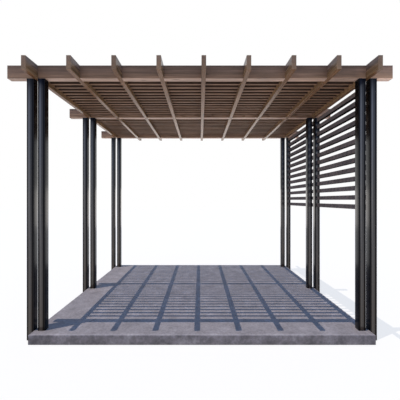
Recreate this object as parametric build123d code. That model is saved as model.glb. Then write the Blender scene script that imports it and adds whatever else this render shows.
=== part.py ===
from build123d import *
import os

# Slatted pergola: twin steel posts carry three timber beams, nine timber rafters are
# cross-halved into the beams, and timber slats fill the fields between them.
# Millimetres. X runs left to right, Y front to back, Z up from the ground.
# The origin is on the ground under the middle of the roof.

# Twin posts of square hollow section
post_side = 80
post_wall = 4
post_corner = 3
post_inner_corner = 1
post_gap = 48
clear_width = 3610
frame_pitch = 1466
frame_count = 3
head_height = 2900

# Concrete slab
slab_thickness = 110
slab_margin = 100

# Timber beams, one on each row of posts
beam_height = 150
left_overhang = 224
right_overhang = 182

# Timber rafters, halved into the beams
rafter_count = 9
rafter_width = 50
rafter_height = 150
rafter_overhang = 217
last_space_cut = 40
lap_play = 0.5

# Roof slats between the rafters, at the middle of their height
slat_width = 38
slat_height = 60
slat_pitch = 100

# Metal screens between the outer posts on the right
screen_slat_height = 60
screen_slat_depth = 50
screen_slat_wall = 2.5
screen_slat_pitch = 120
screen_slat_count = 13
screen_top_gap = 14

# Places across the width, from the left end of the beams
posts_span = clear_width + 4 * post_side + 2 * post_gap
beam_length = posts_span + left_overhang + right_overhang
left_outer_x = -beam_length / 2 + left_overhang
left_inner_x = left_outer_x + post_side + post_gap
right_inner_x = left_inner_x + post_side + clear_width
right_outer_x = right_inner_x + post_side + post_gap
post_places = {
    "left_outer_post": left_outer_x,
    "left_inner_post": left_inner_x,
    "right_inner_post": right_inner_x,
    "right_outer_post": right_outer_x,
}

# The first and the last rafter lie over the gaps of the outermost pairs of posts.
# The spaces between are equal, but for the last, which is narrower.
first_rafter_x = left_inner_x - post_gap / 2
last_rafter_x = right_outer_x - post_gap / 2
rafter_pitch = (last_rafter_x - first_rafter_x + last_space_cut) / (rafter_count - 1)
rafter_places = [first_rafter_x + i * rafter_pitch for i in range(rafter_count - 1)]
rafter_places.append(last_rafter_x)

# Places from front to back
posts_depth = (frame_count - 1) * frame_pitch + post_side
front_y = -posts_depth / 2
frame_names = ["front", "middle", "back"]
frame_places = [front_y + i * frame_pitch for i in range(frame_count)]
rafter_length = posts_depth + 2 * rafter_overhang
slab_depth = posts_depth + 2 * slab_margin
bay_length = frame_pitch - post_side

# Heights above the ground. Rafters and beams are level with each other underneath.
beam_bottom = slab_thickness + head_height
seat_height = beam_bottom + beam_height / 2
rafter_top = beam_bottom + rafter_height

low = (Align.MIN, Align.MIN, Align.MIN)
mid_low = (Align.CENTER, Align.MIN, Align.MIN)
parts = {}


def square_tube(side, wall, corner, inner_corner, length):
    """A square hollow section standing on its end, its low corner at the origin."""
    centre = Pos(side / 2, side / 2)
    outline = centre * RectangleRounded(side, side, corner)
    bore = centre * RectangleRounded(side - 2 * wall, side - 2 * wall, inner_corner)
    return extrude(outline - bore, amount=length)


def make_slab():
    """The slab fills the width between the outer posts, edge against face."""
    x0 = left_outer_x + post_side
    return Pos(x0, -slab_depth / 2, 0) * Box(right_outer_x - x0, slab_depth, slab_thickness, align=low)


def make_post(x, y, foot):
    """A post from its foot up to the underside of the beam."""
    tube = square_tube(post_side, post_wall, post_corner, post_inner_corner, beam_bottom - foot)
    return Pos(x, y, foot) * tube


def make_beam(y):
    """A beam with a notch in its underside for each rafter, as deep as half the beam."""
    beam = Pos(0, y, beam_bottom) * Box(beam_length, post_side, beam_height, align=mid_low)
    notch_width = rafter_width + 2 * lap_play
    notch = Box(notch_width, post_side, seat_height - beam_bottom, align=mid_low)
    for x in rafter_places:
        beam -= Pos(x, y, beam_bottom) * notch
    return beam


def make_rafter(x):
    """A rafter with a notch in its top for each beam, down to the same seat."""
    blank = Box(rafter_width, rafter_length, rafter_height, align=mid_low)
    rafter = Pos(x, -rafter_length / 2, beam_bottom) * blank
    notch_length = post_side + 2 * lap_play
    notch = Box(rafter_width, notch_length, rafter_top - seat_height, align=mid_low)
    for y in frame_places:
        rafter -= Pos(x, y - lap_play, seat_height) * notch
    return rafter


def make_slats(bay, field):
    """Separate slats between two neighbouring rafters, spread about the middle of the bay."""
    x0 = rafter_places[field] + rafter_width / 2
    x1 = rafter_places[field + 1] - rafter_width / 2
    middle_y = frame_places[bay] + post_side + bay_length / 2
    count = int(bay_length // slat_pitch)
    first_y = middle_y - (count - 1) * slat_pitch / 2 - slat_width / 2
    slat = Box(x1 - x0, slat_width, slat_height, align=low)
    bottom = beam_bottom + (rafter_height - slat_height) / 2
    return [Pos(x0, first_y + i * slat_pitch, bottom) * slat for i in range(count)]


def make_screen(bay):
    """Hollow metal slats from one outer post to the next, flush with their outer faces."""
    outline = Rectangle(screen_slat_depth, screen_slat_height)
    bore = Rectangle(screen_slat_depth - 2 * screen_slat_wall, screen_slat_height - 2 * screen_slat_wall)
    slat = Rot(90, 0, 0) * extrude(outline - bore, amount=-bay_length)
    x = right_outer_x + post_side - screen_slat_depth / 2
    y = frame_places[bay] + post_side
    top_slat_z = beam_bottom - screen_top_gap - screen_slat_height / 2
    return [Pos(x, y, top_slat_z - i * screen_slat_pitch) * slat for i in range(screen_slat_count)]


parts["concrete_slab"] = make_slab()

for frame_name, y in zip(frame_names, frame_places):
    for post_name, x in post_places.items():
        foot = slab_thickness if "inner" in post_name else 0
        parts[frame_name + "_" + post_name] = make_post(x, y, foot)
    parts[frame_name + "_beam"] = make_beam(y)

for number, x in enumerate(rafter_places, start=1):
    parts["rafter_" + str(number)] = make_rafter(x)

for bay, bay_name in enumerate(["front_bay", "back_bay"]):
    for field in range(rafter_count - 1):
        parts[bay_name + "_slats_" + str(field + 1)] = Compound(children=make_slats(bay, field))
    parts["right_screen_" + bay_name] = Compound(children=make_screen(bay))

os.makedirs("parts", exist_ok=True)
for name, shape in parts.items():
    export_step(shape, "parts/" + name + ".step")
print(len(parts), "nodes written")
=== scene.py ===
import math
import bpy
import numpy as np
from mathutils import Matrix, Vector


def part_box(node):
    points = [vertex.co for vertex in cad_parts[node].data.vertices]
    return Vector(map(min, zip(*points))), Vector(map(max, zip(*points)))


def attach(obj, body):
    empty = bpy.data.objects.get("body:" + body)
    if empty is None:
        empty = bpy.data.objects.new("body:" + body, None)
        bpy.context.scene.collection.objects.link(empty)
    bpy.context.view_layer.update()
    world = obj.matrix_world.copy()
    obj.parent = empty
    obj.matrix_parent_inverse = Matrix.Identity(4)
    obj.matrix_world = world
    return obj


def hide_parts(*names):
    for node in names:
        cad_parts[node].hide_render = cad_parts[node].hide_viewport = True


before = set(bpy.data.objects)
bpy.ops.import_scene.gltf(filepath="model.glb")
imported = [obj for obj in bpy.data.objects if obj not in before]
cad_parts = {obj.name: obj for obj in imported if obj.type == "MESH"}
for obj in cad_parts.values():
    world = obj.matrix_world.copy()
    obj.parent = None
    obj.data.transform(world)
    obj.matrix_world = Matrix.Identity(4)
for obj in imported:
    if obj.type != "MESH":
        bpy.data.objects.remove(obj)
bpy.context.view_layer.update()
print("frame loaded:", len(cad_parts), "nodes")

postRows = ["front", "middle", "back"]
postKinds = ["left_outer_post", "left_inner_post", "right_inner_post", "right_outer_post"]
postNames = [row + "_" + kind for row in postRows for kind in postKinds]
beamNames = [row + "_beam" for row in postRows]
rafterNames = ["rafter_" + str(n) for n in range(1, 10)]
slatNames = [bay + "_slats_" + str(n) for bay in ("front_bay", "back_bay") for n in range(1, 9)]
screenNames = ["right_screen_front_bay", "right_screen_back_bay"]


def corners(node):
    # the node's box as two arrays
    low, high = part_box(node)
    return np.array(low), np.array(high)


# Shapes worked out with numpy


def quarterRound(halfWidth, radius, steps):
    # Places across the piece and how far the outline is drawn in there.
    # Near each cheek the place runs as halfWidth - r + r sin(a) and the draw as r (1 - cos(a)),
    # with a from 90 degrees at the cheek to 0 where the full outline begins.
    angle = np.radians(np.linspace(-90, 0, steps + 1))
    across = -halfWidth + radius + radius * np.sin(angle)
    draw = radius * (1 - np.cos(angle))
    across = np.concatenate([across, -across[::-1]])
    draw = np.concatenate([draw, draw[::-1]])
    tilt = np.concatenate([angle, -angle[::-1]])
    return across, draw, tilt


def easedBoard(outline, width, radius, steps):
    # A square-cornered outline in the plane of length and height is carried across the width.
    # Each corner is drawn in along the sum of its two edges' inward normals, times the draw
    # of quarterRound, so every arris along the cheeks is a quarter round.
    outline = np.asarray(outline, float)
    count = len(outline)
    edge = np.roll(outline, -1, axis=0) - outline
    edge /= np.linalg.norm(edge, axis=1)[:, None]
    inward = np.stack([-edge[:, 1], edge[:, 0]], axis=1)
    pull = inward + np.roll(inward, 1, axis=0)
    across, draw, tilt = quarterRound(width / 2, radius, steps)
    rows = len(across)
    flat = outline[None, :, :] + draw[:, None, None] * pull[None, :, :]
    points = np.empty((rows, count, 3))
    points[:, :, 0] = flat[:, :, 0]
    points[:, :, 1] = across[:, None]
    points[:, :, 2] = flat[:, :, 1]
    row, col = np.meshgrid(np.arange(rows - 1), np.arange(count), indexing="ij")
    after = (col + 1) % count
    quads = np.stack([(row + 1) * count + col, (row + 1) * count + after,
                      row * count + after, row * count + col], axis=-1).reshape(-1, 4)
    # the normal turns from the cheek to the outline's own edge as the tilt goes from 90 to 0
    outward = np.zeros((rows, count, 3))
    outward[:, :, 0] = -inward[None, :, 0] * np.cos(tilt)[:, None]
    outward[:, :, 2] = -inward[None, :, 1] * np.cos(tilt)[:, None]
    outward[:, :, 1] = np.sin(tilt)[:, None]
    lower, upper = outward[:-1], outward[1:]
    normals = np.stack([upper, upper, lower, lower], axis=2).reshape(-1, 3)
    # faces across the board's ends are sawn end grain
    sawn = np.repeat(np.tile((np.abs(inward[:, 0]) > 0.5).astype(float), rows - 1), 4)
    caps = [np.arange(count), np.arange(count)[::-1] + (rows - 1) * count]
    capNormals = np.repeat([[0.0, -1.0, 0.0], [0.0, 1.0, 0.0]], count, axis=0)
    faces = [list(map(int, f)) for f in quads] + [list(map(int, f)) for f in caps]
    low, high = outline[:, 1].min(), outline[:, 1].max()
    return {"points": points.reshape(-1, 3), "faces": faces,
            "normals": np.concatenate([normals, capNormals]),
            "perPoint": {"boardRise": (points[:, :, 2].ravel() - low) / (high - low),
                         "boardRun": points[:, :, 0].ravel() / outline[:, 0].max()},
            "perCorner": {"boardSawn": np.concatenate([sawn, np.zeros(2 * count)])}}


def rectangle(length, height):
    # anticlockwise from the low start
    return [(0, 0), (length, 0), (length, height), (0, height)]


def joinBoards(boards):
    # one mesh from many boards: their points follow each other and the faces are shifted to match
    starts = np.cumsum([0] + [len(b["points"]) for b in boards[:-1]])
    joined = {key: np.concatenate([b[key] for b in boards]) for key in ("points", "normals")}
    for table in ("perPoint", "perCorner"):
        joined[table] = {key: np.concatenate([b[table][key] for b in boards]) for key in boards[0][table]}
    joined["faces"] = [[i + int(s) for i in f] for b, s in zip(boards, starts) for f in b["faces"]]
    return joined


# where in the tree a board may come from, in metres along it, out from the pith and up or down
treePlaces = {"least": (0, 0.05, -0.2), "most": (40, 0.30, 0.2)}


def layBoard(board, origin, alongY, rng):
    # turns a board to its axis, moves it to its place and gives it its own piece of the tree
    local = board["points"]
    place = local + rng.uniform(treePlaces["least"], treePlaces["most"])
    tone = np.full(len(local), rng.uniform())
    points, normals = local.copy(), board["normals"].copy()
    if alongY:
        points = points[:, [1, 0, 2]] * (-1, 1, 1)
        normals = normals[:, [1, 0, 2]] * (-1, 1, 1)
    perPoint = dict(board["perPoint"], boardPlace=place, boardTone=tone)
    return dict(board, points=points + origin, normals=normals, perPoint=perPoint)


def roundedSquare(side, radius, steps):
    # Anticlockwise about the middle: at each corner the point is the corner's centre plus the radius
    # along (cos a, sin a), with a growing by 90 degrees over the corner.
    angle = np.radians(np.linspace(0, 90, steps + 1))
    turn = np.repeat(np.radians([0, 90, 180, 270]), steps + 1)
    angle = np.tile(angle, 4) + turn
    normal = np.stack([np.cos(angle), np.sin(angle)], axis=1)
    diagonal = np.stack([np.cos(turn) - np.sin(turn), np.sin(turn) + np.cos(turn)], axis=1)
    return diagonal * (side / 2 - radius) + normal * radius, normal


def squareTube(side, wall, corner, innerCorner, length, steps):
    # The wall's own section, a thin upright rectangle, is carried round a rounded square:
    # four rings of points, up the outside, in over the head, down the bore and out under the foot.
    outer, normal = roundedSquare(side, corner, steps)
    inner = roundedSquare(side - 2 * wall, innerCorner, steps)[0]
    count = len(outer)
    rings = np.stack([outer, outer, inner, inner])
    heights = np.repeat([0.0, length, length, 0.0], count).reshape(4, count, 1)
    points = np.concatenate([rings, heights], axis=2)
    ring, col = np.meshgrid(np.arange(4), np.arange(count), indexing="ij")
    nextRing, nextCol = (ring + 1) % 4, (col + 1) % count
    quads = np.stack([ring * count + col, ring * count + nextCol,
                      nextRing * count + nextCol, nextRing * count + col], axis=-1).reshape(-1, 4)
    flat = np.concatenate([normal, np.zeros((count, 1))], axis=1)
    level = np.repeat([[0.0, 0.0, 1.0]], count, axis=0)
    wallNormals = np.stack([flat, level, -flat, -level])
    after = np.roll(wallNormals, -1, axis=1)
    normals = np.stack([wallNormals, after, after, wallNormals], axis=2).reshape(-1, 3)
    # how far across its face each corner of a quad lies, whether that face looks straight
    # sideways, and whether it is one of the rounded corners, whose normals lie along no axis
    alongAxis = 0.9999
    middle = normals.reshape(-1, 4, 3).mean(axis=1)
    cheek = np.abs(middle[:, 0]) > np.abs(middle[:, 1])
    bend = np.abs(middle).max(axis=1) < alongAxis
    points = points.reshape(-1, 3)
    place = points[quads]
    across = np.where(cheek[:, None], place[:, :, 1], place[:, :, 0]) / side + 0.5
    perCorner = {"postAcross": across.ravel(),
                 "postCheek": np.repeat((cheek & ~bend).astype(float), 4),
                 "postBend": np.repeat(bend.astype(float), 4)}
    return {"points": points, "faces": quads.tolist(), "normals": normals,
            "perPoint": {}, "perCorner": perCorner}


def newPiece(name, shape, material, nodes):
    mesh = bpy.data.meshes.new(name)
    mesh.from_pydata(shape["points"].tolist(), [], shape["faces"])
    for domain, table in (("POINT", shape["perPoint"]), ("CORNER", shape["perCorner"])):
        for key, values in table.items():
            values = np.asarray(values, np.float32)
            isVector = values.ndim == 2
            layer = mesh.attributes.new(key, "FLOAT_VECTOR" if isVector else "FLOAT", domain)
            layer.data.foreach_set("vector" if isVector else "value", values.ravel())
    mesh.polygons.foreach_set("use_smooth", np.ones(len(mesh.polygons), bool))
    mesh.update()
    mesh.normals_split_custom_set(shape["normals"].tolist())
    mesh.materials.append(material)
    piece = bpy.data.objects.new(name, mesh)
    bpy.context.scene.collection.objects.link(piece)
    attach(piece, "root")
    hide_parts(*nodes)
    return piece


# Helpers for shader trees


def addNode(tree, kind, **sockets):
    node = tree.nodes.new(kind)
    for label, value in sockets.items():
        node.inputs[label].default_value = value
    return node


def wire(tree, *pairs):
    for source, target in pairs:
        tree.links.new(source, target)


def mathNode(tree, operation, first, second=None, clamp=False):
    node = tree.nodes.new("ShaderNodeMath")
    node.operation = operation
    node.use_clamp = clamp
    for socket, value in zip(node.inputs, (first, second)):
        if value is None:
            continue
        if isinstance(value, (int, float)):
            socket.default_value = value
        else:
            tree.links.new(value, socket)
    return node.outputs[0]


def rampNode(tree, value, stops, smooth=True):
    # each stop is its place and a grey or a colour
    node = tree.nodes.new("ShaderNodeValToRGB")
    node.color_ramp.interpolation = "EASE" if smooth else "LINEAR"
    elements = node.color_ramp.elements
    while len(elements) < len(stops):
        elements.new(0.5)
    for element, (place, colour) in zip(elements, stops):
        element.position = place
        element.color = (*colour, 1) if isinstance(colour, tuple) else (colour, colour, colour, 1)
    tree.links.new(value, node.inputs[0])
    return node.outputs[0]


def mixColour(tree, factor, first, second, blend="MIX"):
    # the colours of a mix node are its inputs 6 and 7 and its output 2
    node = tree.nodes.new("ShaderNodeMix")
    node.data_type = "RGBA"
    node.blend_type = blend
    for socket, value in ((node.inputs[0], factor), (node.inputs[6], first), (node.inputs[7], second)):
        if isinstance(value, (int, float)):
            socket.default_value = value
        elif isinstance(value, tuple):
            socket.default_value = (*value, 1)
        else:
            tree.links.new(value, socket)
    return node.outputs[2]


def times(tree, first, second):
    return mixColour(tree, 1.0, first, second, "MULTIPLY")


def stretchedNoise(tree, vector, stretch, detail=3.0, roughness=0.5):
    # noise whose scale differs along the three axes
    scaled = tree.nodes.new("ShaderNodeMapping")
    scaled.inputs["Scale"].default_value = stretch
    tree.links.new(vector, scaled.inputs["Vector"])
    noise = tree.nodes.new("ShaderNodeTexNoise")
    noise.inputs["Scale"].default_value = 1.0
    noise.inputs["Detail"].default_value = detail
    noise.inputs["Roughness"].default_value = roughness
    tree.links.new(scaled.outputs[0], noise.inputs["Vector"])
    return noise.outputs["Fac"]


def newGroup(name, inputs, outputs):
    group = bpy.data.node_groups.new(name, "ShaderNodeTree")
    for label, kind, value in inputs:
        socket = group.interface.new_socket(name=label, in_out="INPUT", socket_type="NodeSocket" + kind)
        if value is not None:
            socket.default_value = value
    for label, kind in outputs:
        group.interface.new_socket(name=label, in_out="OUTPUT", socket_type="NodeSocket" + kind)
    return group, group.nodes.new("NodeGroupInput"), group.nodes.new("NodeGroupOutput")


def useGroup(tree, group, **values):
    node = tree.nodes.new("ShaderNodeGroup")
    node.node_tree = group
    for key, value in values.items():
        socket = node.inputs[key.replace("_", " ")]
        if isinstance(value, (int, float)):
            socket.default_value = value
        else:
            tree.links.new(value, socket)
    return node


# detail and roughness of the slow blotches and of the fine speckle
mottleLook = {"Blotch": (5.0, 0.6), "Speckle": (3.0, 0.65)}


def makeMottleGroup():
    # slow blotches and fine speckle on object coordinates, both about 0.5
    group, start, end = newGroup(
        "mottle", [("Blotch Scale", "Float", 1.0), ("Speckle Scale", "Float", 60.0)],
        [("Blotch", "Float"), ("Speckle", "Float")])
    place = group.nodes.new("ShaderNodeTexCoord").outputs["Object"]
    for label, (detail, rough) in mottleLook.items():
        noise = group.nodes.new("ShaderNodeTexNoise")
        noise.inputs["Detail"].default_value = detail
        noise.inputs["Roughness"].default_value = rough
        wire(group, (place, noise.inputs["Vector"]),
             (start.outputs[label + " Scale"], noise.inputs["Scale"]),
             (noise.outputs["Fac"], end.inputs[label]))
    return group


def makeFacingGroup():
    # how far a surface faces up or down, from 0 to 1, by its normal's height
    group, _, end = newGroup("facing", [], [("Up", "Float"), ("Down", "Float")])
    normal = group.nodes.new("ShaderNodeNewGeometry").outputs["Normal"]
    split = group.nodes.new("ShaderNodeSeparateXYZ")
    wire(group, (normal, split.inputs[0]))
    for label, sign in (("Up", 1.0), ("Down", -1.0)):
        share = mathNode(group, "MULTIPLY", split.outputs[2], sign, clamp=True)
        wire(group, (share, end.inputs[label]))
    return group


# the figure of the wood; every stretch is per metre along the board, across it and up
grainLook = {
    "ringSpacing": 0.0065,                  # metres
    "rings": [(0.0, 0.05), (0.55, 0.35), (0.88, 1.0), (1.0, 0.05)],
    "bend": {"stretch": (0.7, 3.0, 3.0), "detail": 2.0},
    "bendReach": 0.09,                      # metres
    "fibre": {"stretch": (3.0, 260.0, 260.0), "detail": 4.0, "roughness": 0.6},
    "stain": {"stretch": (1.8, 38.0, 38.0), "detail": 4.0, "roughness": 0.6},
    "crack": {"stretch": (1.6, 95.0, 95.0), "detail": 2.0},
    "check": [(0.0, 0.0), (0.69, 0.0), (0.74, 1.0)],
    "knotStretch": (1.3, 9.0, 9.0),
    "knot": [(0.0, 1.0), (0.05, 0.85), (0.11, 0.0)],
}


def makeGrainGroup():
    # Wood figure in a board's own coordinates: length, width and height within the tree.
    # Rings are the fraction of the distance from the pith over the ring spacing, with the
    # distance bent by slow noise. Fibre, stain and checks are noise drawn out along the length,
    # and knots are where a stretched cell's point is near.
    group, start, end = newGroup(
        "timberGrain", [("Place", "Vector", None)],
        [(label, "Float") for label in ("Rings", "Fibre", "Stain", "Check", "Knot")])
    place = start.outputs["Place"]
    split = group.nodes.new("ShaderNodeSeparateXYZ")
    wire(group, (place, split.inputs[0]))
    width, height = split.outputs[1], split.outputs[2]
    squares = mathNode(group, "ADD", mathNode(group, "MULTIPLY", width, width),
                       mathNode(group, "MULTIPLY", height, height))
    bend = stretchedNoise(group, place, **grainLook["bend"])
    bend = mathNode(group, "MULTIPLY", bend, grainLook["bendReach"])
    distance = mathNode(group, "ADD", mathNode(group, "SQRT", squares), bend)
    turns = mathNode(group, "DIVIDE", distance, grainLook["ringSpacing"])
    rings = rampNode(group, mathNode(group, "FRACT", turns), grainLook["rings"])
    fibre = stretchedNoise(group, place, **grainLook["fibre"])
    stain = stretchedNoise(group, place, **grainLook["stain"])
    crack = stretchedNoise(group, place, **grainLook["crack"])
    check = rampNode(group, crack, grainLook["check"], smooth=False)
    squeeze = group.nodes.new("ShaderNodeMapping")
    squeeze.inputs["Scale"].default_value = grainLook["knotStretch"]
    cells = group.nodes.new("ShaderNodeTexVoronoi")
    cells.inputs["Scale"].default_value = 1.0
    wire(group, (place, squeeze.inputs[0]), (squeeze.outputs[0], cells.inputs["Vector"]))
    knot = rampNode(group, cells.outputs["Distance"], grainLook["knot"])
    wire(group, (rings, end.inputs["Rings"]), (fibre, end.inputs["Fibre"]), (stain, end.inputs["Stain"]),
         (check, end.inputs["Check"]), (knot, end.inputs["Knot"]))
    return group


def newMaterial(name):
    material = bpy.data.materials.new(name)
    material.use_nodes = True
    tree = material.node_tree
    return material, tree, tree.nodes["Principled BSDF"]


def attribute(tree, name):
    node = tree.nodes.new("ShaderNodeAttribute")
    node.attribute_name = name
    return node


def dressShader(tree, shader, colour, rough, shine, relief, bump):
    # bump is the relief's strength and its distance in metres
    raised = tree.nodes.new("ShaderNodeBump")
    raised.inputs["Strength"].default_value, raised.inputs["Distance"].default_value = bump
    shader.inputs["Specular IOR Level"].default_value = shine
    wire(tree, (colour, shader.inputs["Base Color"]), (rough, shader.inputs["Roughness"]),
         (relief, raised.inputs["Height"]), (raised.outputs[0], shader.inputs["Normal"]))


mottle = makeMottleGroup()
facing = makeFacingGroup()
grain = makeGrainGroup()

# Materials

timberLook = {
    "earlyWood": (0.255, 0.156, 0.108),
    "lateWood": (0.162, 0.095, 0.061),
    "knot": (0.060, 0.036, 0.026),
    "sawnEnd": (0.385, 0.246, 0.158), "sawnShare": 0.7,
    "silvered": (0.27, 0.235, 0.225), "silveredShare": 0.7,         # tops, bleached
    "paintedUnderShare": 0.75,                 # how much the undersides take of their painted light and shade from below
    # what the colour is times where the figure is low or high
    "stain": [(0.28, 0.55), (0.5, 0.97), (0.72, 1.42)],
    "stainMean": 0.97, "sawnCalm": 0.75,    # sawn ends take this share of the stain's mean
    "fibre": [(0.3, 0.82), (0.7, 1.16)],
    "boards": [(0.0, 0.93), (1.0, 1.07)],
    "blotch": [(0.3, 0.88), (0.7, 1.1)], "blotchScale": 1.7,
    "checkDark": 0.8,
    "fibreHigh": 0.5, "checkDeep": 0.9, "bump": (0.5, 0.0012),
}
# Rise is what the colour is times from the low to the top edge, a painted light and shade: paler low down,
# darker toward the top on beams and slats and bluer toward the top on rafters. Along is what the colour is
# times from one end to the other, a painted light on the paler beam ends, and alongUnder the same for the
# beams' undersides, a painted shade near the left end. The undersides' colour is a painted light and shade
# from below, side what the whole board is times (for the slats a painted shade on their faces in the gaps),
# and calmUnder the share of the stain's mean that the undersides take.
beamLook = {
    "rise": [(0.0, (1.38, 1.35, 1.22)), (0.25, (1.24, 1.22, 1.12)), (0.5, (1.0, 1.0, 0.98)),
             (0.8, (0.86, 0.85, 0.86)), (0.93, (0.66, 0.67, 0.71)), (1.0, (0.58, 0.60, 0.67))],
    "along": [(0.0, 1.3), (0.04, 1.3), (0.10, 1.0), (0.90, 1.0), (0.96, 1.95), (1.0, 1.95)],
    "alongUnder": [(0.0, 0.62), (0.05, 0.70), (0.10, 1.0), (1.0, 1.0)],
    "paintedUnderTone": (0.62, 0.43, 0.33), "side": 1.0, "calmUnder": 0.0,
    "shine": 0.3, "rough": [(0.3, 0.40), (0.7, 0.56)],
}
rafterLook = {
    "rise": [(0.0, (1.30, 1.28, 0.92)), (0.40, (1.04, 1.0, 0.76)), (0.58, (1.0, 1.04, 1.02)),
             (0.72, (1.0, 1.13, 1.36)), (1.0, (0.95, 1.08, 1.30))],
    "paintedUnderTone": (0.190, 0.090, 0.042), "side": 0.92, "calmUnder": 0.7,
    "shine": 0.12, "rough": [(0.3, 0.22), (0.7, 0.30)],
}
slatLook = {
    "rise": [(0.0, 1.35), (0.25, 1.22), (0.5, 1.0), (0.8, 0.86), (1.0, 0.66)],
    "paintedUnderTone": (0.34, 0.205, 0.130), "side": 0.30, "calmUnder": 0.0,
    "shine": 0.05, "rough": [(0.3, 0.40), (0.7, 0.56)],
}


def makeTimber(name, look):
    material, tree, shader = newMaterial(name)
    wood = useGroup(tree, grain, Place=attribute(tree, "boardPlace").outputs["Vector"])
    spots = useGroup(tree, mottle, Blotch_Scale=timberLook["blotchScale"])
    facingNode = useGroup(tree, facing)
    up, down = facingNode.outputs["Up"], facingNode.outputs["Down"]
    tone = attribute(tree, "boardTone").outputs["Fac"]
    sawn = attribute(tree, "boardSawn").outputs["Fac"]
    rise = attribute(tree, "boardRise").outputs["Fac"]
    run = attribute(tree, "boardRun").outputs["Fac"]
    colour = mixColour(tree, wood.outputs["Rings"], timberLook["earlyWood"], timberLook["lateWood"])
    # painted light and shade up the board's height
    colour = times(tree, colour, rampNode(tree, rise, look["rise"], smooth=False))
    # the slats' side factor is a painted shade on their faces in the gaps
    colour = times(tree, colour, (look["side"],) * 3)
    # the undersides take a painted light and shade from below: paler on the beams, dark on the rafters
    under = mixColour(tree, timberLook["paintedUnderShare"], colour, look["paintedUnderTone"])
    # painted shade on the beams' undersides near their left ends
    if "alongUnder" in look:
        under = times(tree, under, rampNode(tree, run, look["alongUnder"], smooth=False))
    colour = mixColour(tree, down, colour, under)
    over = mixColour(tree, timberLook["silveredShare"], colour, timberLook["silvered"])
    colour = mixColour(tree, up, colour, over)
    sawnShare = mathNode(tree, "MULTIPLY", sawn, timberLook["sawnShare"])
    colour = mixColour(tree, sawnShare, colour, timberLook["sawnEnd"])
    calm = mathNode(tree, "MAXIMUM", mathNode(tree, "MULTIPLY", sawn, timberLook["sawnCalm"]),
                    mathNode(tree, "MULTIPLY", down, look["calmUnder"]))
    stain = rampNode(tree, wood.outputs["Stain"], timberLook["stain"])
    colour = times(tree, colour, mixColour(tree, calm, stain, (timberLook["stainMean"],) * 3))
    colour = times(tree, colour, rampNode(tree, wood.outputs["Fibre"], timberLook["fibre"]))
    # painted light: the beam ends paler
    if "along" in look:
        colour = times(tree, colour, rampNode(tree, run, look["along"], smooth=False))
    colour = times(tree, colour, rampNode(tree, tone, timberLook["boards"], smooth=False))
    colour = times(tree, colour, rampNode(tree, spots.outputs["Blotch"], timberLook["blotch"]))
    checks = mathNode(tree, "MULTIPLY", wood.outputs["Check"], timberLook["checkDark"])
    dark = mathNode(tree, "MAXIMUM", wood.outputs["Knot"], checks)
    colour = mixColour(tree, dark, colour, timberLook["knot"])
    rough = rampNode(tree, wood.outputs["Fibre"], look["rough"])
    relief = mathNode(tree, "SUBTRACT",
                      mathNode(tree, "MULTIPLY", wood.outputs["Fibre"], timberLook["fibreHigh"]),
                      mathNode(tree, "MULTIPLY", wood.outputs["Check"], timberLook["checkDeep"]))
    dressShader(tree, shader, colour, rough, look["shine"], relief, timberLook["bump"])
    return material


steelLook = {
    # the face colour is the paler colour of the polished bands, a painted reflection streak
    "face": (0.098, 0.090, 0.085),
    "paintedDarkBand": (0.010, 0.009, 0.010),        # the colour between the polished bands and along the dull lines, the dark of a painted reflection streak
    "cheek": (0.0035, 0.0035, 0.0042),      # the faces that look sideways
    "corner": (0.020, 0.020, 0.022),
    # how polished the coat is, from edge to edge of a cheek, of a face low down and high up,
    # and where the dull lines run; on the faces the same bands make the colour paler, a painted reflection
    # streak
    "alongCheek": [(0.0, 0.03), (0.12, 0.13), (0.37, 0.37), (0.62, 0.63), (1.0, 0.92)],
    "streakLow": [(0.12, 0.14), (0.20, 0.27), (0.30, 0.62), (0.38, 0.76), (0.46, 0.70), (0.54, 0.58),
                  (0.64, 0.50)],
    "streakHigh": [(0.12, 0.45), (0.22, 0.80), (0.28, 1.0), (0.42, 1.0), (0.47, 0.48), (0.54, 0.40),
                   (0.66, 0.42)],
    "turnsAt": (1.0, 1.6),                  # metres up, between which low turns into high
    "lines": [(0.0, 0.04), (0.14, 0.04), (0.20, 1.0), (0.69, 1.0), (0.74, 0.0), (0.85, 0.0),
              (0.89, 0.18), (0.97, 0.18), (1.0, 0.1)],
    # by the share of this height in metres: just below the beams the coat is duller and the colour darker,
    # a painted shade, and the colour takes a painted reflection tint from warm at the foot to blue-black
    # above
    "full": 3.0,
    "underBeam": [(0.0, 1.0), (0.55, 1.0), (0.80, 0.90), (0.90, 0.87), (0.96, 0.62), (1.0, 0.12)],
    # a painted reflection tint: warm ground at the foot, blue sky above
    "paintedReflectionTint": [(0.05, (1.05, 0.74, 0.50)), (0.30, (1.05, 0.95, 0.86)), (0.55, (1.0, 1.0, 1.03)),
             (0.80, (0.64, 0.86, 1.30)), (1.0, (0.50, 0.76, 1.30))],
    "drawnStretch": (70.0, 70.0, 0.35), "drawn": [(0.3, 0.82), (0.7, 1.18)],
    "coatRough": 0.14, "coatIndex": 1.7,
    "shine": 0.05, "rough": [(0.3, 0.20), (0.7, 0.28)], "speckleScale": 420.0, "bump": (0.05, 0.0004),
}


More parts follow.
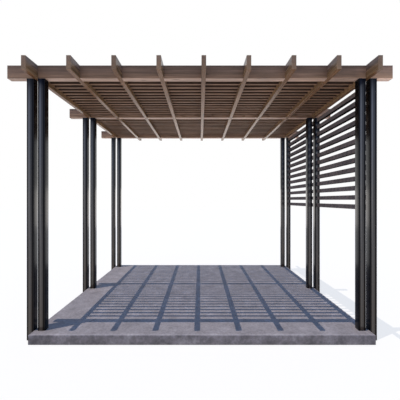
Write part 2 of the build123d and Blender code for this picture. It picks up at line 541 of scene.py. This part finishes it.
def makeBlackSteel():
    # gloss black coat, polished in bands along the tube, with dull lines between them;
    # the colour is paler in the same bands, a painted reflection streak
    material, tree, shader = newMaterial("black coated steel")
    speckle = useGroup(tree, mottle, Speckle_Scale=steelLook["speckleScale"]).outputs["Speckle"]
    place = tree.nodes.new("ShaderNodeTexCoord").outputs["Object"]
    split = tree.nodes.new("ShaderNodeSeparateXYZ")
    wire(tree, (place, split.inputs[0]))
    across = attribute(tree, "postAcross").outputs["Fac"]
    cheek = attribute(tree, "postCheek").outputs["Fac"]
    bend = attribute(tree, "postBend").outputs["Fac"]
    lowest, highest = steelLook["turnsAt"]
    turn = mathNode(tree, "SUBTRACT", split.outputs[2], lowest)
    turn = mathNode(tree, "DIVIDE", turn, highest - lowest, clamp=True)
    streak = mixColour(tree, turn, rampNode(tree, across, steelLook["streakLow"], smooth=False),
                       rampNode(tree, across, steelLook["streakHigh"], smooth=False))
    lines = rampNode(tree, across, steelLook["lines"], smooth=False)
    height = mathNode(tree, "DIVIDE", split.outputs[2], steelLook["full"])
    # painted shade just below the beams, in the coat and the colour
    fade = rampNode(tree, height, steelLook["underBeam"], smooth=False)
    polishAndPaintedStreaks = mathNode(tree, "MULTIPLY", mathNode(tree, "MULTIPLY", streak, lines), fade)
    drawn = stretchedNoise(tree, place, steelLook["drawnStretch"])
    # painted reflection: the colour is paler where the coat is polished and darker between
    colour = mixColour(tree, polishAndPaintedStreaks, steelLook["paintedDarkBand"], steelLook["face"])
    colour = times(tree, colour, rampNode(tree, drawn, steelLook["drawn"]))
    # painted reflection tint by height
    colour = times(tree, colour, rampNode(tree, height, steelLook["paintedReflectionTint"], smooth=False))
    colour = mixColour(tree, cheek, colour, steelLook["cheek"])
    colour = mixColour(tree, bend, colour, steelLook["corner"])
    flatFront = mathNode(tree, "SUBTRACT", 1.0, mathNode(tree, "ADD", cheek, bend), clamp=True)
    onCheek = rampNode(tree, across, steelLook["alongCheek"], smooth=False)
    onCheek = mathNode(tree, "MULTIPLY", mathNode(tree, "MULTIPLY", onCheek, cheek), fade)
    coat = mathNode(tree, "ADD", mathNode(tree, "MULTIPLY", flatFront, polishAndPaintedStreaks), onCheek)
    rough = rampNode(tree, speckle, steelLook["rough"])
    shader.inputs["Coat Roughness"].default_value = steelLook["coatRough"]
    shader.inputs["Coat IOR"].default_value = steelLook["coatIndex"]
    wire(tree, (coat, shader.inputs["Coat Weight"]))
    dressShader(tree, shader, colour, rough, steelLook["shine"], speckle, steelLook["bump"])
    return material


screenLook = {
    # the undersides' colour is a painted shade
    "face": (0.165, 0.137, 0.130), "under": (0.014, 0.011, 0.010),
    "blotch": [(0.3, 0.82), (0.7, 1.18)], "blotchScale": 3.0,
    "shine": 0.0, "rough": [(0.3, 0.34), (0.7, 0.46)], "speckleScale": 380.0, "bump": (0.15, 0.0004),
}


def makeDarkMetal():
    material, tree, shader = newMaterial("dark coated metal")
    spots = useGroup(tree, mottle, Blotch_Scale=screenLook["blotchScale"],
                     Speckle_Scale=screenLook["speckleScale"])
    speckle = spots.outputs["Speckle"]
    down = useGroup(tree, facing).outputs["Down"]
    # painted shade on the undersides
    colour = mixColour(tree, down, screenLook["face"], screenLook["under"])
    colour = times(tree, colour, rampNode(tree, spots.outputs["Blotch"], screenLook["blotch"]))
    rough = rampNode(tree, speckle, screenLook["rough"])
    dressShader(tree, shader, colour, rough, screenLook["shine"], speckle, screenLook["bump"])
    return material


slabLook = {
    "side": (0.268, 0.236, 0.236),
    "top": (0.305, 0.290, 0.315),
    "edgeBand": 0.030, "edgeHighlight": 1.18,        # the top is paler along its front and back edges, a painted highlight; band in metres
    "blotch": [(0.30, 0.78), (0.5, 0.98), (0.70, 1.22)], "blotchScale": 6.5,
    "speckle": [(0.28, 0.82), (0.72, 1.18)], "speckleScale": 42.0,
    # the sides alone show the clouds and pits of the casting, and run paler from the foot up
    "clouds": [(0.36, 0.80), (0.5, 0.99), (0.64, 1.20)], "cloudScale": 3.6,
    "pits": [(0.3, 0.86), (0.7, 1.14)], "pitScale": 13.0,
    "castRise": [(0.0, 0.90), (0.5, 0.98), (0.85, 1.06), (1.0, 1.16)],
    "shine": 0.25, "rough": [(0.3, 0.7), (0.7, 0.9)], "bump": (0.4, 0.0015),
}


def makeConcrete():
    material, tree, shader = newMaterial("cast concrete")
    spots = useGroup(tree, mottle, Blotch_Scale=slabLook["blotchScale"],
                     Speckle_Scale=slabLook["speckleScale"])
    speckle = spots.outputs["Speckle"]
    cloudy = useGroup(tree, mottle, Blotch_Scale=slabLook["cloudScale"], Speckle_Scale=slabLook["pitScale"])
    up = useGroup(tree, facing).outputs["Up"]
    high = corners("concrete_slab")[1]
    unchanged = (1.0, 1.0, 1.0)
    place = tree.nodes.new("ShaderNodeSeparateXYZ")
    wire(tree, (tree.nodes.new("ShaderNodeTexCoord").outputs["Object"], place.inputs[0]))
    fromMiddle = mathNode(tree, "ABSOLUTE", place.outputs[1])
    edge = mathNode(tree, "GREATER_THAN", fromMiddle, float(high[1]) - slabLook["edgeBand"])
    edge = mathNode(tree, "MULTIPLY", edge, up)
    rise = mathNode(tree, "DIVIDE", place.outputs[2], float(high[2]))
    cast = rampNode(tree, cloudy.outputs["Blotch"], slabLook["clouds"])
    cast = times(tree, cast, rampNode(tree, cloudy.outputs["Speckle"], slabLook["pits"]))
    cast = times(tree, cast, rampNode(tree, rise, slabLook["castRise"], smooth=False))
    colour = mixColour(tree, up, slabLook["side"], slabLook["top"])
    # painted highlight along the top's front and back edges
    colour = times(tree, colour, mixColour(tree, edge, unchanged, (slabLook["edgeHighlight"],) * 3))
    colour = times(tree, colour, rampNode(tree, spots.outputs["Blotch"], slabLook["blotch"]))
    colour = times(tree, colour, mixColour(tree, up, cast, unchanged))
    colour = times(tree, colour, rampNode(tree, speckle, slabLook["speckle"]))
    rough = rampNode(tree, speckle, slabLook["rough"])
    dressShader(tree, shader, colour, rough, slabLook["shine"], speckle, slabLook["bump"])
    return material


beamTimber = makeTimber("oiled beam timber", beamLook)
rafterTimber = makeTimber("oiled rafter timber", rafterLook)
slatTimber = makeTimber("oiled slat timber", slatLook)
blackSteel = makeBlackSteel()
darkMetal = makeDarkMetal()
concrete = makeConcrete()
print("materials made")

# Timber

timberCut = {"arris": 0.003, "steps": 3, "seed": 21, "seatShare": 0.5, "lapPlay": 0.0005}
rng = np.random.default_rng(timberCut["seed"])


def notchedOutline(length, height, notches, depth, fromTop):
    # a board's outline with square notches of one depth, from the top or from the underside
    if fromTop:
        points = [(0, 0), (length, 0), (length, height)]
        for start, end in reversed(notches):
            points += [(end, height), (end, height - depth), (start, height - depth), (start, height)]
        return points + [(0, height)]
    points = [(0, 0)]
    for start, end in notches:
        points += [(start, 0), (start, depth), (end, depth), (end, 0)]
    return points + [(length, 0), (length, height), (0, height)]


def makeBeam(node):
    low, high = corners(node)
    height = high[2] - low[2]
    play = timberCut["lapPlay"]
    crossings = [corners(r) for r in rafterNames]
    notches = [(a[0] - play - low[0], b[0] + play - low[0]) for a, b in crossings]
    depth = height * timberCut["seatShare"]
    outline = notchedOutline(high[0] - low[0], height, notches, depth, False)
    board = easedBoard(outline, high[1] - low[1], timberCut["arris"], timberCut["steps"])
    middle = (low[1] + high[1]) / 2
    return newPiece(node + "_timber", layBoard(board, (low[0], middle, low[2]), False, rng),
                    beamTimber, [node])


def makeRafter(node):
    low, high = corners(node)
    play = timberCut["lapPlay"]
    crossings = [corners(b) for b in beamNames]
    notches = [(a[1] - play - low[1], b[1] + play - low[1]) for a, b in crossings]
    beamLow, beamHigh = crossings[0]
    seat = beamLow[2] + (beamHigh[2] - beamLow[2]) * timberCut["seatShare"]
    outline = notchedOutline(high[1] - low[1], high[2] - low[2], notches, high[2] - seat, True)
    board = easedBoard(outline, high[0] - low[0], timberCut["arris"], timberCut["steps"])
    middle = (low[0] + high[0]) / 2
    return newPiece(node + "_timber", layBoard(board, (middle, low[1], low[2]), True, rng),
                    rafterTimber, [node])


slatCut = {"width": 0.038, "pitch": 0.100, "arris": 0.003, "steps": 2}


def makeSlatPanel(node):
    low, high = corners(node)
    size = high - low
    board = easedBoard(rectangle(size[0], size[2]), slatCut["width"], slatCut["arris"], slatCut["steps"])
    count = int(round((size[1] - slatCut["width"]) / slatCut["pitch"])) + 1
    places = low[1] + slatCut["width"] / 2 + np.arange(count) * slatCut["pitch"]
    boards = [layBoard(board, (low[0], y, low[2]), False, rng) for y in places]
    return newPiece(node + "_boards", joinBoards(boards), slatTimber, [node])


for node in beamNames:
    makeBeam(node)
for node in rafterNames:
    makeRafter(node)
for node in slatNames:
    makeSlatPanel(node)
print("timber made")

# Metal

postCut = {"wall": 0.004, "corner": 0.003, "innerCorner": 0.001, "steps": 4}


def makePost(node):
    low, high = corners(node)
    tube = squareTube(high[0] - low[0], postCut["wall"], postCut["corner"], postCut["innerCorner"],
                      high[2] - low[2], postCut["steps"])
    tube["points"] = tube["points"] + ((low[0] + high[0]) / 2, (low[1] + high[1]) / 2, low[2])
    return newPiece(node + "_tube", tube, blackSteel, [node])


screenCut = {"height": 0.060, "pitch": 0.120, "arris": 0.0015, "steps": 2}


def makeScreen(node):
    low, high = corners(node)
    size = high - low
    outline = rectangle(size[1], screenCut["height"])
    blade = easedBoard(outline, size[0], screenCut["arris"], screenCut["steps"])
    count = int(round((size[2] - screenCut["height"]) / screenCut["pitch"])) + 1
    heights = low[2] + np.arange(count) * screenCut["pitch"]
    middle = (low[0] + high[0]) / 2
    blades = [layBoard(blade, (middle, low[1], z), True, rng) for z in heights]
    return newPiece(node + "_blades", joinBoards(blades), darkMetal, [node])


for node in postNames:
    makePost(node)
for node in screenNames:
    makeScreen(node)
print("metal made")

# Concrete

slabCut = {"arris": 0.006, "steps": 3}


def makeSlab(node):
    # a board lying flat: its outline is the slab's plan, carried up through the thickness
    low, high = corners(node)
    size = high - low
    slab = easedBoard(rectangle(size[0], size[1]), size[2], slabCut["arris"], slabCut["steps"])
    middle = (low[2] + high[2]) / 2
    slab["points"] = slab["points"][:, [0, 2, 1]] * (1, -1, 1) + (low[0], high[1], middle)
    slab["normals"] = slab["normals"][:, [0, 2, 1]] * (1, -1, 1)
    return newPiece(node + "_cast", slab, concrete, [node])


makeSlab("concrete_slab")
print("concrete made")

# Stage, light and camera

# The floor lights the object with its pale colour. Seen or mirrored it glows, and keeps some shade.
stageLook = {"size": 80.0, "pale": (0.80, 0.77, 0.72), "glow": 0.74, "keep": 0.30, "drop": 0.0008}


def lightPathMask(tree):
    # 1 for camera, glossy and transmission rays
    path = tree.nodes.new("ShaderNodeLightPath").outputs
    both = mathNode(tree, "MAXIMUM", path["Is Camera Ray"], path["Is Glossy Ray"])
    return mathNode(tree, "MAXIMUM", both, path["Is Transmission Ray"])


def makeFloor():
    half = stageLook["size"] / 2
    mesh = bpy.data.meshes.new("pale floor")
    drop = -stageLook["drop"]
    mesh.from_pydata([(-half, -half, drop), (half, -half, drop), (half, half, drop), (-half, half, drop)],
                     [], [(0, 1, 2, 3)])
    material, tree, _ = newMaterial("pale floor")
    tree.nodes.clear()
    pale = addNode(tree, "ShaderNodeBsdfDiffuse", Color=(*stageLook["pale"], 1))
    seen = addNode(tree, "ShaderNodeBsdfDiffuse", Color=(stageLook["keep"],) * 3 + (1,))
    glow = addNode(tree, "ShaderNodeEmission", Color=(1, 1, 1, 1), Strength=stageLook["glow"])
    both = tree.nodes.new("ShaderNodeAddShader")
    mix = tree.nodes.new("ShaderNodeMixShader")
    out = tree.nodes.new("ShaderNodeOutputMaterial")
    wire(tree, (seen.outputs[0], both.inputs[0]), (glow.outputs[0], both.inputs[1]),
         (lightPathMask(tree), mix.inputs[0]), (pale.outputs[0], mix.inputs[1]),
         (both.outputs[0], mix.inputs[2]), (mix.outputs[0], out.inputs["Surface"]))
    mesh.materials.append(material)
    floor = bpy.data.objects.new("pale floor", mesh)
    bpy.context.scene.collection.objects.link(floor)


skyLook = {"colour": (0.36, 0.58, 1.0), "strength": 0.57}


def makeWorld():
    world = bpy.data.worlds.new("soft sky")
    bpy.context.scene.world = world
    world.use_nodes = True
    tree = world.node_tree
    tree.nodes.clear()
    sky = addNode(tree, "ShaderNodeBackground", Color=(*skyLook["colour"], 1), Strength=skyLook["strength"])
    white = addNode(tree, "ShaderNodeBackground", Color=(1, 1, 1, 1), Strength=1.0)
    mix = tree.nodes.new("ShaderNodeMixShader")
    out = tree.nodes.new("ShaderNodeOutputWorld")
    wire(tree, (lightPathMask(tree), mix.inputs[0]), (sky.outputs[0], mix.inputs[1]),
         (white.outputs[0], mix.inputs[2]), (mix.outputs[0], out.inputs["Surface"]))


sunLook = {"place": (0, 0, 8), "travel": (0.1375, 0.0745, -1.0), "strength": 2.05,
           "colour": (1.0, 0.86, 0.72), "angle": 0.12}
fillLook = {"size": (4.4, 2.8), "height": 0.4, "power": 19.0, "colour": (1.0, 0.93, 0.86)}
# a low wide panel behind the object, which only its sheen shows
panelLook = {"size": (1.7, 12.0), "place": (0, 7.6, 1.25), "power": 86.0, "colour": (1.0, 0.93, 0.87)}


def addLamp(name, kind, place, direction, **values):
    lamp = bpy.data.lights.new(name, kind)
    for key, value in values.items():
        setattr(lamp, key, value)
    holder = bpy.data.objects.new(name, lamp)
    holder.location = place
    turn = np.array(direction, float) / np.linalg.norm(direction)
    yaw = math.atan2(turn[1], turn[0])
    pitch = math.acos(-turn[2])
    holder.rotation_mode = "XYZ"
    holder.rotation_euler = (0, -pitch, yaw)
    bpy.context.scene.collection.objects.link(holder)
    return holder


def makeLights():
    addLamp("high sun", "SUN", sunLook["place"], sunLook["travel"], energy=sunLook["strength"],
            color=sunLook["colour"], angle=math.radians(sunLook["angle"]))
    fill = addLamp("light off the ground", "AREA", (0, 0, fillLook["height"]), (0, 0, 1),
                   energy=fillLook["power"], color=fillLook["colour"], shape="RECTANGLE",
                   size=fillLook["size"][0], size_y=fillLook["size"][1])
    fill.visible_camera = False
    fill.visible_glossy = False
    panel = addLamp("low panel behind", "AREA", panelLook["place"], (0, -1, 0), energy=panelLook["power"],
                    color=panelLook["colour"], shape="RECTANGLE", size=panelLook["size"][0],
                    size_y=panelLook["size"][1])
    panel.visible_camera = False
    panel.visible_diffuse = False


cameraLook = {"distance": 3.070, "eyeOverSlab": 1.503, "lens": 24.05, "sensor": 36.0}


def makeCamera():
    front = corners("front_left_outer_post")[0][1]
    slabTop = corners("concrete_slab")[1][2]
    lens = bpy.data.cameras.new("camera")
    lens.lens = cameraLook["lens"]
    lens.sensor_width = cameraLook["sensor"]
    camera = bpy.data.objects.new("camera", lens)
    camera.location = (0, front - cameraLook["distance"], slabTop + cameraLook["eyeOverSlab"])
    camera.rotation_euler = (math.radians(90), 0, 0)
    bpy.context.scene.collection.objects.link(camera)
    bpy.context.scene.camera = camera


makeFloor()
makeWorld()
makeLights()
makeCamera()
bpy.context.scene.view_settings.view_transform = "Standard"
print("stage, light and camera set")
